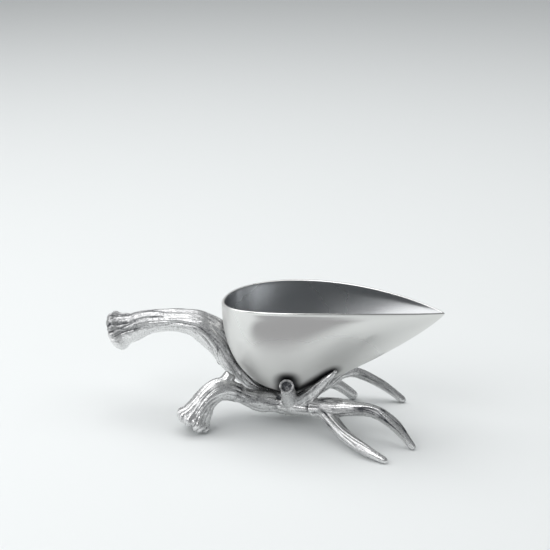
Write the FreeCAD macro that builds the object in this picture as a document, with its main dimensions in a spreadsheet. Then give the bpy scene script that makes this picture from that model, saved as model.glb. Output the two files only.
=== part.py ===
import FreeCAD, Part
import Sketcher
import math
import os

# Sauce boat: a polished teardrop bowl carried on two cast antlers. One antler is the handle,
# hugs the back of the bowl and ends in two far feet. The other lies under the near side and
# stands on its burr at the back and on two tines at the front. Screws from below and behind
# hold the three castings together. Millimetres, +Z up, origin on the table, middle of the box.

doc = FreeCAD.newDocument("SauceBoat")
dims = doc.addObject("Spreadsheet::Sheet", "Dims")

SIZES = [
    ("bowl_length", 171.6, "rear of the rim to the tip of the spout"),
    ("bowl_width", 82.0, "across the rim at its widest"),
    ("bowl_depth", 72.0, "end of the rim down to the underside"),
    ("bowl_wall", 2.2, "wall of the bowl"),
    ("spout_wall", 5.0, "metal in the point of the spout"),
    ("stand_height", 24.0, "table to the underside of the bowl"),
    ("rim_arch", 6.0, "how far the middle of the rim stands above its ends"),
    ("rear_reach", 55.6, "rear of the rim to the lowest point, lengthwise"),
    ("handle_reach", 93.4, "rear of the rim to the end of the handle"),
    ("centre_shift", 8.1, "bowl's middle line to the middle of the box, sideways"),
    ("handle_radius", 9.0, "handle beam"),
    ("handle_burr", 15.2, "burr at the end of the handle"),
    ("base_radius", 8.6, "beam of the lower antler"),
    ("foot_burr", 13.7, "burr that the lower antler stands on"),
    ("tine_tip", 2.6, "end of a long tine"),
    ("far_tine", 4.2, "far tine where it leaves the bowl's shade"),
    ("stub_radius", 4.3, "short far foot"),
    ("near_tine", 4.8, "near tines, half way"),
    ("up_tine", 5.2, "tine that reaches up to the bowl, at its root"),
    ("knob_radius", 5.8, "cut stub beside the bowl"),
    ("brow_radius", 5.2, "broken brow tine"),
    ("boss_radius", 4.8, "screw boss under the bowl"),
    ("boss_height", 4.0, "how far a boss stands out of the bowl"),
    ("boss_gap", 0.25, "room around a boss in its pocket"),
    ("screw_radius", 2.0, "screw shank"),
    ("screw_gap", 0.25, "room around a shank in an antler"),
    ("thread_gap", 0.05, "room around a shank in its thread"),
    ("thread_depth", 5.0, "how far a screw reaches into its thread"),
    ("head_radius", 3.5, "screw head"),
    ("head_height", 2.8, "screw head"),
    ("head_gap", 0.5, "room around a head in its recess"),
    ("socket_radius", 1.6, "hexagon socket, to its corners"),
    ("socket_depth", 1.5, "hexagon socket"),
    ("washer_radius", 3.8, "washer"),
    ("washer_thickness", 0.8, "washer"),
    ("grip", 9.0, "antler between washer and boss"),
    ("cross_grip", 11.0, "handle antler between washer and lower antler"),
    ("cross_thread", 9.0, "cross screw inside the lower antler"),
    ("solder_radius", 1.6, "solder bead at the tip of the reaching tine"),
    ("foot_flat", 0.4, "how much the table face takes off each foot"),
]
for line, (alias, value, note) in enumerate(SIZES, start=1):
    dims.set(f"A{line}", note)
    dims.set(f"B{line}", str(value))
    dims.setAlias(f"B{line}", alias)
doc.recompute()


def size(alias):
    return float(dims.get(alias))


def vec(*xyz):
    return FreeCAD.Vector(*xyz)


# ---- where things are, all worked out from the sheet ----

RIM_Z = size("stand_height") + size("bowl_depth")
REAR_X = (size("handle_reach") - size("bowl_length")) / 2
LOW_X = REAR_X + size("rear_reach")

# Superellipse powers of the bowl's outline: 2 is an ellipse, 1 a straight line.
REAR_POWER = 2.2
SPOUT_POWER = 1.18
SIDE_POWER = 2.0
# Powers of the plan: a blunt rear and a pointed spout at the rim, both round at the bottom.
REAR_BLUNTNESS = 0.43
SPOUT_SHARPNESS = 0.88
ROUND = 0.5
FLAT_SHARE = 0.99
SECTION_ANGLES = (0, 10, 20, 31, 42, 53, 64, 74, 81.89)
OUTLINE_STEPS = 14


def fall(depth_share, power):
    """Share of the full reach that is left at a share of the depth."""
    return (1 - depth_share ** power) ** (1 / power)


def plan(inset, point_inset, depth_share):
    """Rear, front, half width and the bluntness of both ends of the bowl's outline."""
    rear = LOW_X - (size("rear_reach") - inset) * fall(depth_share, REAR_POWER)
    front_reach = size("bowl_length") - size("rear_reach") - point_inset
    front = LOW_X + front_reach * fall(depth_share, SPOUT_POWER)
    half_width = (size("bowl_width") / 2 - inset) * fall(depth_share, SIDE_POWER)
    rounding = depth_share ** 4
    blunt = REAR_BLUNTNESS + (ROUND - REAR_BLUNTNESS) * rounding
    sharp = SPOUT_SHARPNESS + (ROUND - SPOUT_SHARPNESS) * rounding
    return rear, front, half_width, blunt, sharp


def across(along, half_width, blunt, sharp):
    """Half width of the outline at a share of the way from its rear to its front."""
    widest = blunt / (blunt + sharp)
    peak = widest ** blunt * (1 - widest) ** sharp
    return half_width * along ** blunt * (1 - along) ** sharp / peak


def near_flank(x, height):
    """Place on the bowl's near side, from its place lengthwise and its height."""
    depth_share = FLAT_SHARE * (RIM_Z - height) / size("bowl_depth")
    rear, front, *form = plan(0.0, 0.0, depth_share)
    return vec(x, -across((x - rear) / (front - rear), *form), height)


def teardrop(inset, point_inset, depth_share, height):
    """Closed outline of the bowl at one height, pointed at the spout."""
    rear, front, *form = plan(inset, point_inset, depth_share)
    side = []
    for step in range(OUTLINE_STEPS + 1):
        along = (1 - math.cos(math.pi * step / OUTLINE_STEPS)) / 2
        side.append((rear + (front - rear) * along, across(along, *form)))
    far_side = [vec(x, y, height) for x, y in reversed(side)]
    near_side = [vec(x, -y, height) for x, y in side[1:]]
    curve = Part.BSplineCurve()
    curve.interpolate(far_side + near_side)
    return Part.Wire([curve.toShape()])


def bowl_shape(name, inset, point_inset):
    """Loft of teardrops from above the rim down to the flat underside."""
    deep = size("bowl_depth") - inset
    sections = []
    top = RIM_Z + size("rim_arch") + 2
    levels = [(0.0, top)]
    for angle in SECTION_ANGLES:
        share = math.sin(math.radians(angle))
        levels.append((share, RIM_Z - deep * share / FLAT_SHARE))
    for number, (share, height) in enumerate(levels):
        section = doc.addObject("Part::Feature", f"{name}_section_{number}")
        section.Shape = teardrop(inset, point_inset, share, height)
        sections.append(section)
    loft = doc.addObject("Part::Loft", name)
    loft.Sections = sections
    loft.Solid = True
    loft.Ruled = False
    return loft


def rear_point(depth_share, out):
    """Point of the middle line, a distance out from the bowl's rear, and the outward normal."""
    def profile(share):
        back = LOW_X - size("rear_reach") * fall(share, REAR_POWER)
        return vec(back, 0, RIM_Z - size("bowl_depth") * share / FLAT_SHARE)
    here = profile(depth_share)
    along = profile(depth_share + 0.01) - profile(depth_share - 0.01)
    normal = vec(along.z, 0, -along.x).normalize()
    return here + normal * out, normal


# ---- shared makers ----

def bind(thing, **expressions):
    for name, expression in expressions.items():
        thing.setExpression(name, expression)


def cut(name, base, *tools):
    """Base less each tool in turn."""
    result = base
    for number, tool in enumerate(tools):
        step = doc.addObject("Part::Cut", f"{name}_cut_{number}")
        step.Base = result
        step.Tool = tool
        result = step
    return result


def fuse(name, *pieces):
    joined = doc.addObject("Part::MultiFuse", name)
    joined.Shapes = list(pieces)
    return joined


def aim(start, direction):
    """Placement at start with local Z along direction and local X level."""
    z_axis = vec(direction).normalize()
    x_axis = vec(0, 1, 0) if abs(z_axis.z) > 0.999 else vec(0, 0, 1).cross(z_axis).normalize()
    turn = FreeCAD.Rotation(x_axis, z_axis.cross(x_axis), z_axis, "ZXY")
    return FreeCAD.Placement(start, turn)


def rod(name, start, direction, radius, height):
    """Cylinder with its sizes bound to the sheet."""
    cylinder = doc.addObject("Part::Cylinder", name)
    bind(cylinder, Radius=radius, Height=height)
    cylinder.Placement = aim(start, direction)
    return cylinder


BURR_SHAPE = ((0.0, 0.78), (2.0, 0.97), (5.0, 1.0), (9.0, 0.84), (13.0, 0.77))
TIP_SHAPE = ((0.55, 0.82), (0.9, 0.4))
STEPS_BETWEEN = 3


def smooth(points, number, part):
    """Point a part of the way from one spine point to the next on a Catmull-Rom curve."""
    last = len(points) - 1
    before, here = points[max(number - 1, 0)], points[number]
    there, after = points[number + 1], points[min(number + 2, last)]
    return (here * 2 + (there - before) * part
            + (before * 2 - here * 5 + there * 4 - after) * part ** 2
            + (here * 3 - before - there * 3 + after) * part ** 3) * 0.5


def fill_in(spine):
    """The spine with evenly spaced rows added between its points, sizes mixed in proportion."""
    points = [row[0] for row in spine]
    rows = [spine[0]]
    for number in range(len(spine) - 1):
        for step in range(1, STEPS_BETWEEN + 1):
            part = step / STEPS_BETWEEN
            sizes = [f"({1 - part:.4f}) * {spine[number][k]} + ({part:.4f}) * {spine[number + 1][k]}"
                     for k in (1, 2)]
            rows.append((smooth(points, number, part), *sizes))
    return rows


def branch(name, spine, burr=None, tip=None, burr_way=None):
    """Antler branch: a loft through ellipses along a spine of (point, level, upright) rows.

    level and upright are the half sizes across the beam, as sheet expressions.
    """
    spine = fill_in(spine)
    points = [row[0] for row in spine]
    rows = []
    for number, (point, level, upright) in enumerate(spine):
        before = points[max(number - 1, 0)]
        after = points[min(number + 1, len(points) - 1)]
        rows.append((point, after - before, level, upright))
    if burr:
        face = rows[0][0]
        way = vec(burr_way).normalize()
        ring = [(face + way * far, way, f"Dims.{burr} * {share}") for far, share in BURR_SHAPE]
        clear = BURR_SHAPE[-1][0] * 1.2
        rows = [row for row in rows if (row[0] - face).Length > clear]
        rows[0:0] = [(point, along, radius, radius) for point, along, radius in ring]
    if tip:
        end = rows[-1][0]
        way = vec(points[-1] - points[-2]).normalize()
        for far, share in TIP_SHAPE:
            radius = f"Dims.{tip} * {share}"
            rows.append((end + way * size(tip) * far, way, radius, radius))
    sections = []
    for number, (point, along, level, upright) in enumerate(rows):
        section = doc.addObject("Part::Ellipse", f"{name}_section_{number}")
        bind(section, MajorRadius=level, MinorRadius=upright)
        section.Placement = aim(point, along)
        sections.append(section)
    loft = doc.addObject("Part::Loft", name)
    loft.Sections = sections
    loft.Solid = True
    loft.Ruled = False
    return loft


def table_block():
    """What lies below the table, so that each foot gets a flat face."""
    block = doc.addObject("Part::Box", "table_block")
    bind(block, Length="2 * Dims.bowl_length", Width="3 * Dims.bowl_width", Height="Dims.stand_height")
    block.Placement.Base = vec(-size("bowl_length"), -1.5 * size("bowl_width"), -size("stand_height"))
    return block


# ---- screw places: start of the boss face and the way the screw points ----

KEEL_X = LOW_X - 1.5
BOSS_Z = size("stand_height") - size("boss_height")
HANDLE_SIDE = size("handle_radius") * 0.68
BASE_SIDE = -size("base_radius") * 1.2
REAR_SHARE = 0.62
rear_spot, rear_normal = rear_point(REAR_SHARE, size("boss_height"))
BOSSES = {
    "handle_keel": (vec(KEEL_X, HANDLE_SIDE, BOSS_Z), vec(0, 0, 1)),
    "base_keel": (vec(KEEL_X, BASE_SIDE, BOSS_Z), vec(0, 0, 1)),
    "rear": (rear_spot, rear_normal * -1),
}
CROSS_X = LOW_X - 13.5
CROSS_Z = size("stand_height") - 7
CROSS_Y = HANDLE_SIDE - size("handle_radius") + 0.6


def screw_tools(name, spot, way):
    """Pocket for the boss, clearance hole and recess for the head, to cut from an antler."""
    pocket = rod(f"{name}_pocket", spot, way, "Dims.boss_radius + Dims.boss_gap", "4 * Dims.boss_height")
    below = spot - way * size("grip")
    hole = rod(f"{name}_hole", below, way, "Dims.screw_radius + Dims.screw_gap", "Dims.grip + 1")
    recess = rod(f"{name}_recess", below, way * -1, "Dims.washer_radius + Dims.head_gap", "3 * Dims.grip")
    return [pocket, hole, recess]


def make_bowl():
    outer = bowl_shape("bowl_outer", 0.0, 0.0)
    inner = bowl_shape("bowl_inner", size("bowl_wall"), size("spout_wall"))
    bosses = []
    threads = []
    for name, (spot, way) in BOSSES.items():
        length = "Dims.boss_height + 2 * Dims.bowl_wall + 2"
        bosses.append(rod(f"{name}_boss", spot, way, "Dims.boss_radius", length))
        depth = "Dims.thread_depth + 0.5"
        threads.append(rod(f"{name}_thread", spot, way, "Dims.screw_radius + Dims.thread_gap", depth))
    body = cut("bowl_body", fuse("bowl_and_bosses", outer, *bosses), inner, *threads)
    arch = doc.addObject("Part::Cylinder", "rim_arch_drum")
    radius = "(Dims.bowl_length ^ 2 / 4 + Dims.rim_arch ^ 2) / (2 * Dims.rim_arch)"
    bind(arch, Radius=radius, Height="2 * Dims.bowl_width")
    drum = (size("bowl_length") ** 2 / 4 + size("rim_arch") ** 2) / (2 * size("rim_arch"))
    middle = REAR_X + size("bowl_length") / 2
    arch.Placement = aim(vec(middle, -size("bowl_width"), RIM_Z + size("rim_arch") - drum), vec(0, 1, 0))
    bowl = doc.addObject("Part::Common", "bowl")
    bowl.Base = body
    bowl.Tool = arch
    return bowl, outer


def oval(level, upright, radius="handle_radius"):
    return f"Dims.{radius} * {level}", f"Dims.{radius} * {upright}"


def handle_spine():
    """Burr, raised beam, the long hug down the bowl's rear, under the bowl, far tine."""
    back, top, low = REAR_X, RIM_Z, LOW_X
    hug = [rear_point(share, out)[0] for share, out in ((0.5, 8.0), (0.66, 6.5), (0.82, 5.0), (0.93, 5.0))]
    under = size("stand_height") - 8
    end = size("handle_reach") - 4.4
    return [
        (vec(back - end, 0, top - 35.2), *oval(1.2, 1.2)),
        (vec(back - 73.9, 0, top - 30.6), *oval(1.24, 1.24)),
        (vec(back - 59.4, 0, top - 24.4), *oval(1.06, 1.04)),
        (vec(back - 44.9, 0, top - 22.0), *oval(0.98, 0.98)),
        (vec(back - 31.4, 0, top - 21.6), *oval(1.06, 1.06)),
        (vec(back - 16.9, 0, top - 25.4), *oval(1.28, 1.28)),
        (hug[0], *oval(1.3, 1.2)),
        (hug[1], *oval(1.3, 1.02)),
        (hug[2] + vec(0, 1.5, 0), *oval(1.2, 0.85)),
        (hug[3] + vec(0, 4, -1), *oval(1.1, 0.85)),
        (vec(low - 5, HANDLE_SIDE, under), *oval(1.0, 0.95)),
        (vec(low + 6.5, HANDLE_SIDE + 9, under + 1), *oval(1.0, 0.9)),
        (vec(low + 19, 30, under + 5), *oval(0.85, 0.72)),
        (vec(low + 31, 43.5, under + 7.5), *oval(1.12, 1.12, "far_tine")),
        (vec(low + 43, 50, under + 5.8), *oval(1.0, 1.0, "far_tine")),
        (vec(low + 62.5, 51, under - 3.2), *oval(0.8, 0.8, "far_tine")),
        (vec(low + 79, 49.5, size("tine_tip") - size("foot_flat")), *oval(1.0, 1.0, "tine_tip")),
    ]


def shoulder_spine():
    """Ridge of the handle that runs straight into the bowl's rear, under the rim."""
    back, top = REAR_X, RIM_Z
    return [
        (vec(back - 33.5, 0, top - 20.5), *oval(0.84, 0.84)),
        (vec(back - 17, 0, top - 21), *oval(0.84, 0.8)),
        (vec(back - 4.5, 0, top - 26), *oval(0.84, 0.8)),
        (vec(back + 7, 0, top - 38), *oval(0.84, 0.8)),
    ]


def stub_spine():
    low = LOW_X
    under = size("stand_height") - 8
    return [
        (vec(low + 19, 31, under + 4), *oval(1.2, 1.2, "stub_radius")),
        (vec(low + 27.5, 42, under - 2.5), *oval(1.08, 1.08, "stub_radius")),
        (vec(low + 38.5, 47.5, size("stub_radius") - size("foot_flat")), *oval(0.95, 0.95, "stub_radius")),
    ]


def base_spine():
    """Burr foot, shaft, narrow neck, beam under the bowl, palm, upper near tine."""
    low = LOW_X
    mid = size("stand_height") - 7.2
    side = BASE_SIDE
    return [
        (vec(low - 72.5, -41, 5.5), *oval(1.1, 1.1, "base_radius")),
        (vec(low - 62, -34, mid + 7.2), *oval(1.08, 1.05, "base_radius")),
        (vec(low - 51, -28, mid + 14.5), *oval(1.08, 1.05, "base_radius")),
        (vec(low - 35.5, -20, mid + 6.7), *oval(0.85, 0.8, "base_radius")),
        (vec(low - 23.5, side - 3.2, mid + 1.2), *oval(0.98, 0.95, "base_radius")),
        (vec(low - 8.5, side, mid), *oval(1.0, 1.0, "base_radius")),
        (vec(low + 4, side - 1, mid - 0.3), *oval(1.02, 1.0, "base_radius")),
        (vec(low + 19.5, -16, mid + 0.3), *oval(1.0, 0.76, "base_radius")),
        (vec(low + 36.5, -22, mid + 3.8), *oval(0.95, 0.74, "base_radius")),
        (vec(low + 50.5, -26, mid + 6.4), *oval(1.18, 1.15, "near_tine")),
        (vec(low + 68.5, -29.5, mid + 6.8), *oval(1.0, 1.0, "near_tine")),
        (vec(low + 86.5, -35, mid - 2.2), *oval(0.85, 0.85, "near_tine")),
        (vec(low + 99, -39.5, size("tine_tip") - size("foot_flat")), *oval(1.0, 1.0, "tine_tip")),
    ]


def low_tine_spine():
    low = LOW_X
    return [
        (vec(low + 25, -18, 17.5), *oval(1.25, 1.2, "near_tine")),
        (vec(low + 35.5, -29, 13.2), *oval(1.15, 1.12, "near_tine")),
        (vec(low + 48.5, -44, 8.4), *oval(1.04, 1.02, "near_tine")),
        (vec(low + 66.5, -60.5, 5.6), *oval(0.88, 0.85, "near_tine")),
        (vec(low + 82, -68.5, size("tine_tip") - size("foot_flat")), *oval(1.0, 1.0, "tine_tip")),
    ]


REACH_SPOT = near_flank(LOW_X + 35, size("stand_height") + 24.4)
REACH_TIP = REACH_SPOT + vec(0, -1.8, 0)


def reach_spine():
    """Tine that rises from the beam to touch the bowl's near flank."""
    low = LOW_X
    under = size("stand_height")
    return [
        (vec(low + 2, BASE_SIDE - 2, under - 7), *oval(1.1, 1.1, "up_tine")),
        (vec(low + 12, -15.3, under + 0.5), *oval(1.12, 1.1, "up_tine")),
        (near_flank(low + 23.4, under + 11.1) + vec(0, -9.4, 0), *oval(0.9, 0.88, "up_tine")),
        (near_flank(low + 30.7, under + 19.8) + vec(0, -4.4, 0), *oval(0.58, 0.56, "up_tine")),
        (REACH_TIP, *oval(0.24, 0.24, "up_tine")),
    ]


def knob_spine():
    under = size("stand_height")
    return [
        (vec(LOW_X, BASE_SIDE - 1, under - 7), *oval(1.2, 1.15, "knob_radius")),
        (vec(LOW_X, -19.5, under + 3.5), *oval(1.05, 1.0, "knob_radius")),
        (vec(LOW_X + 0.3, -26.0, under + 11.5), *oval(0.86, 0.84, "knob_radius")),
        (vec(LOW_X + 0.8, -32.5, under + 15.8), *oval(1.02, 0.98, "knob_radius")),
    ]


def brow_spine():
    mid = size("stand_height") - 7.2
    return [
        (vec(LOW_X - 52, -28, mid + 13), *oval(1.35, 1.3, "brow_radius")),
        (vec(LOW_X - 48, -25.2, mid + 20), *oval(1.05, 1.0, "brow_radius")),
        (vec(LOW_X - 44.8, -23, mid + 25.5), *oval(0.9, 0.88, "brow_radius")),
    ]


def solder_ball():
    """Ball of solder at the tip of the reaching tine, to be trimmed by the bowl."""
    ball = doc.addObject("Part::Sphere", "solder_ball")
    bind(ball, Radius="Dims.solder_radius")
    ball.Placement.Base = REACH_TIP + vec(0.3, 0.5, 0.4)
    return ball


def make_base_antler(bowl_outer, table, bead):
    branches = [
        branch("base_beam", base_spine(), burr="foot_burr", tip="tine_tip", burr_way=(0.47, 0.30, 0.83)),
        branch("low_tine", low_tine_spine(), tip="tine_tip"),
        branch("reach_tine", reach_spine()),
        branch("knob", knob_spine()),
        branch("brow_stub", brow_spine()),
    ]
    whole = fuse("base_branches", *branches)
    spot, way = BOSSES["base_keel"]
    outside = vec(CROSS_X, CROSS_Y + size("cross_grip"), CROSS_Z)
    cross = rod("cross_thread", outside, vec(0, -1, 0), "Dims.screw_radius + Dims.thread_gap",
                "Dims.cross_grip + Dims.cross_thread + 0.5")
    tools = screw_tools("base_keel", spot, way) + [cross]
    trimmed = cut("base_antler_body", whole, bowl_outer, table, *tools, bead)
    return trimmed, whole


def make_handle_antler(bowl_outer, table, base_whole):
    branches = [
        branch("handle_beam", handle_spine(), burr="handle_burr", tip="tine_tip", burr_way=(0.945, 0, 0.326)),
        branch("shoulder", shoulder_spine()),
        branch("far_stub", stub_spine(), tip="stub_radius"),
    ]
    whole = fuse("handle_branches", *branches)
    tools = []
    for name in ("handle_keel", "rear", "base_keel"):
        tools += screw_tools(name, *BOSSES[name])
    seat = vec(CROSS_X, CROSS_Y + size("cross_grip"), CROSS_Z)
    tools.append(rod("cross_hole", seat, vec(0, -1, 0), "Dims.screw_radius + Dims.screw_gap",
                     "Dims.cross_grip + Dims.cross_thread"))
    tools.append(rod("cross_recess", seat, vec(0, 1, 0), "Dims.washer_radius + Dims.head_gap",
                     "3 * Dims.grip"))
    return cut("handle_antler_body", whole, bowl_outer, table, *tools, base_whole)


# ---- turned pieces ----

def flat_sketch(body, name, lift=None):
    """Empty sketch on the body's own XY plane, lifted by a sheet expression."""
    sketch = body.newObject("Sketcher::SketchObject", name)
    plane = [item for item in body.Origin.OriginFeatures if item.Role == "XY_Plane"][0]
    sketch.AttachmentSupport = [(plane, "")]
    sketch.MapMode = "FlatFace"
    if lift:
        sketch.setExpression("AttachmentOffset.Base.z", lift)
    return sketch


def add_circle(sketch, radius, name, construction=False):
    """Circle about the sketch's origin with its radius bound to the sheet."""
    circle = sketch.addGeometry(Part.Circle(vec(0, 0, 0), vec(0, 0, 1), 1.0), construction)
    sketch.addConstraint(Sketcher.Constraint("Coincident", circle, 3, -1, 1))
    held = sketch.addConstraint(Sketcher.Constraint("Radius", circle, 1.0))
    sketch.renameConstraint(held, name)
    sketch.setExpression(f"Constraints.{name}", radius)
    return circle


def add_hexagon(sketch, radius, name):
    """Regular hexagon with its corners on a bound construction circle."""
    corners = [vec(math.cos(math.radians(60 * k)), math.sin(math.radians(60 * k)), 0) for k in range(6)]
    circle = add_circle(sketch, radius, name, True)
    sides = [sketch.addGeometry(Part.LineSegment(corners[k], corners[(k + 1) % 6])) for k in range(6)]
    for k in range(6):
        following = sides[(k + 1) % 6]
        sketch.addConstraint(Sketcher.Constraint("Coincident", sides[k], 2, following, 1))
        sketch.addConstraint(Sketcher.Constraint("PointOnObject", sides[k], 1, circle))
        if k:
            sketch.addConstraint(Sketcher.Constraint("Equal", sides[0], sides[k]))
    sketch.addConstraint(Sketcher.Constraint("PointOnObject", sides[0], 1, -1))


def pad(body, name, sketch, length, reverse=False):
    solid = body.newObject("PartDesign::Pad", name)
    solid.Profile = sketch
    solid.Reversed = reverse
    solid.setExpression("Length", length)
    return solid


def make_screw(name, length):
    """Cap screw: shank up from the head's seat, head below it, hexagon socket in the head."""
    body = doc.addObject("PartDesign::Body", name)
    shank = flat_sketch(body, f"{name}_shank_sketch")
    add_circle(shank, "Dims.screw_radius", "Shank")
    pad(body, f"{name}_shank", shank, length)
    head = flat_sketch(body, f"{name}_head_sketch")
    add_circle(head, "Dims.head_radius", "Head")
    pad(body, f"{name}_head", head, "Dims.head_height", True)
    socket = flat_sketch(body, f"{name}_socket_sketch", "-Dims.head_height")
    add_hexagon(socket, "Dims.socket_radius", "Corners")
    pocket = body.newObject("PartDesign::Pocket", f"{name}_socket")
    pocket.Profile = socket
    pocket.Reversed = True
    pocket.setExpression("Length", "Dims.socket_depth")
    return body


def make_washer(name):
    body = doc.addObject("PartDesign::Body", name)
    ring = flat_sketch(body, f"{name}_sketch")
    add_circle(ring, "Dims.washer_radius", "Outside")
    add_circle(ring, "Dims.screw_radius + Dims.thread_gap", "Bore")
    pad(body, f"{name}_ring", ring, "Dims.washer_thickness")
    return body


def make_fastener(name, spot, way, grip, thread):
    """Screw and washer whose washer seats a grip behind the spot."""
    screw = make_screw(f"{name}_screw", f"{grip} + Dims.washer_thickness + {thread}")
    washer = make_washer(f"{name}_washer")
    behind = spot - way * (size(grip.split(".")[1]) + size("washer_thickness"))
    screw.Placement = aim(behind, way)
    washer.Placement = aim(behind, way)
    return [screw, washer]


# ---- the whole ----

bowl, bowl_outer = make_bowl()
table = table_block()
bead = solder_ball()
base_antler, base_whole = make_base_antler(bowl_outer, table, bead)
handle_antler = make_handle_antler(bowl_outer, table, base_whole)
parts = {
    "bowl": bowl,
    "base_antler": base_antler,
    "handle_antler": handle_antler,
    "tine_solder": cut("solder", bead, bowl_outer),
}
for name, (spot, way) in BOSSES.items():
    screw, washer = make_fastener(name, spot, way, "Dims.grip", "Dims.thread_depth")
    parts[f"{name}_screw"] = screw
    parts[f"{name}_washer"] = washer
cross_spot = vec(CROSS_X, CROSS_Y, CROSS_Z)
screw, washer = make_fastener("cross", cross_spot, vec(0, -1, 0), "Dims.cross_grip", "Dims.cross_thread")
parts["cross_screw"] = screw
parts["cross_washer"] = washer

for name, piece in parts.items():
    piece.Label = name
    across = piece.Placement.Base.y
    piece.setExpression("Placement.Base.y", f"Dims.centre_shift + {across:.6f}")
doc.recompute()

for thing in doc.Objects:
    if "Invalid" in thing.State or "Error" in thing.State:
        raise RuntimeError(f"{thing.Label} failed: {thing.State}")
for name, piece in parts.items():
    shape = piece.Shape
    if shape.isNull() or not shape.isValid() or len(shape.Solids) != 1:
        raise RuntimeError(f"{name} is not one valid solid: {len(shape.Solids)}")
os.makedirs("parts", exist_ok=True)
for name, piece in parts.items():
    box = piece.Shape.BoundBox
    piece.Shape.exportStep(f"parts/{name}.step")
    low = f"({box.XMin:.1f}, {box.YMin:.1f}, {box.ZMin:.1f})"
    high = f"({box.XMax:.1f}, {box.YMax:.1f}, {box.ZMax:.1f})"
    print(f"{name:20s} {piece.Shape.Volume / 1000:8.2f} cm3  {low} to {high}")
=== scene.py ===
# %% [markdown]
# # A sauce boat on antler feet
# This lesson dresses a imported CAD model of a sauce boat: a mirror-polished teardrop bowl that
# sits on two antlers cast in bright metal. The CAD model holds every size. Here we rebuild what
# the eye lands on, the bowl's skin and the rugged antlers, as fine meshes in the same place,
# and give each metal its own finish. Everything is in metres, +Z up, with the table at zero.

# %% Load the frame and read its sizes
import math

import bmesh
import bpy
import numpy as np
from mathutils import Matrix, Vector, bvhtree, kdtree


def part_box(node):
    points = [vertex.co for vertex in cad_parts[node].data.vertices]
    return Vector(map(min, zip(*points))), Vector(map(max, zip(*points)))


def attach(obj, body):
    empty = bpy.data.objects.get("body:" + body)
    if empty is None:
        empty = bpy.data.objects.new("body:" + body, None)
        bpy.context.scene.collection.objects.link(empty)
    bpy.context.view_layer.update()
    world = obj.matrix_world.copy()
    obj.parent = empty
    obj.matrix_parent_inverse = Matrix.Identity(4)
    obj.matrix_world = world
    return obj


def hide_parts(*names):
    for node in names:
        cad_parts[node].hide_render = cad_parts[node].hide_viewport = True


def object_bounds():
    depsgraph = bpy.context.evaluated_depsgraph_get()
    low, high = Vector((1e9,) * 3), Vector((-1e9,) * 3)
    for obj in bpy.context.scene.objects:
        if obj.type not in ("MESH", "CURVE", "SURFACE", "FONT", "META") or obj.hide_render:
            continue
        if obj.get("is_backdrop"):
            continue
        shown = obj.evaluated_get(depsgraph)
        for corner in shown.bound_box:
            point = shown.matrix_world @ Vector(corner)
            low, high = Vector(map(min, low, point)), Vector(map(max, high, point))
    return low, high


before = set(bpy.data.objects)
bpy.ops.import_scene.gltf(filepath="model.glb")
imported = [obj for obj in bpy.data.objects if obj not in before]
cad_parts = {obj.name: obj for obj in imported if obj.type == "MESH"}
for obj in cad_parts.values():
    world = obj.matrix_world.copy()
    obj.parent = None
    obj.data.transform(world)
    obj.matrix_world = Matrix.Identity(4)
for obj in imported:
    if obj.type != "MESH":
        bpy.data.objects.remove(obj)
cad_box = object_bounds()
MM = 0.001
bowl_lo, bowl_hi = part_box("bowl")
print("whole object in mm:", [round(v / MM, 1) for v in (cad_box[1] - cad_box[0])])
print("bowl in mm:", [round(v / MM, 1) for v in (bowl_hi - bowl_lo)])

# %% [markdown]
# ## The bowl's own formula
# A teardrop is easy to write down: its half width is the distance from the rear to one power
# times the distance from the spout to another. Below the rim the outline shrinks as a
# superellipse does. A formula beats hand-placed points here, because a mirror finish shows the
# smallest dent, and a formula has none.

# %% Sizes of the bowl, worked out from its CAD box
REAR = bowl_lo.x
LENGTH = bowl_hi.x - bowl_lo.x
HALF_WIDTH = (bowl_hi.y - bowl_lo.y) / 2
MIDDLE = (bowl_hi.y + bowl_lo.y) / 2
BOSS = 4.0 * MM
ARCH = 6.0 * MM
UNDERSIDE = bowl_lo.z + BOSS
RIM = bowl_hi.z - ARCH
DEPTH = RIM - UNDERSIDE
REAR_REACH = 55.6 * MM
LOWEST = REAR + REAR_REACH
WALL = 2.2 * MM
SPOUT_WALL = 5.0 * MM
ARCH_RADIUS = (LENGTH ** 2 / 4 + ARCH ** 2) / (2 * ARCH)
REAR_POWER, SPOUT_POWER, SIDE_POWER = 2.2, 1.18, 2.0
BLUNT, SHARP, ROUND = 0.43, 0.88, 0.5
FLAT_SHARE = 0.99
print("rim ends %.1f mm above the table" % (RIM / MM))


def fall(share, power):
    """What is left of a reach at a share of the depth."""
    return (1 - share ** power) ** (1 / power)


def rim_height(x):
    """The rim is a shallow arch along the bowl."""
    along = x - (REAR + LENGTH / 2)
    return RIM + ARCH - ARCH_RADIUS + np.sqrt(ARCH_RADIUS ** 2 - along ** 2)


def bowl_wall(along, height, inset=0.0, point_inset=0.0):
    """x and half width of the bowl at a share of its length and a height."""
    share = np.clip((RIM - height) / (DEPTH - inset), 0, 1) * FLAT_SHARE
    rear = LOWEST - (LOWEST - REAR - inset) * fall(share, REAR_POWER)
    front = LOWEST + (REAR + LENGTH - LOWEST - point_inset) * fall(share, SPOUT_POWER)
    rounding = share ** 4
    blunt = BLUNT + (ROUND - BLUNT) * rounding
    sharp = SHARP + (ROUND - SHARP) * rounding
    widest = blunt / (blunt + sharp)
    peak = widest ** blunt * (1 - widest) ** sharp
    width = (HALF_WIDTH - inset) * fall(share, SIDE_POWER)
    return rear + (front - rear) * along, width * along ** blunt * (1 - along) ** sharp / peak


# %% [markdown]
# ## Skin the bowl
# The bowl could be the CAD solid with smooth shading, but its triangles would ripple in the
# reflections. Instead a grid follows the formula: columns run down from the rim, rows run
# round. The outside and the inside are two grids, joined over the rim by a small round, so the
# wall has its real thickness and the rim catches a thin bright line.

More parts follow.
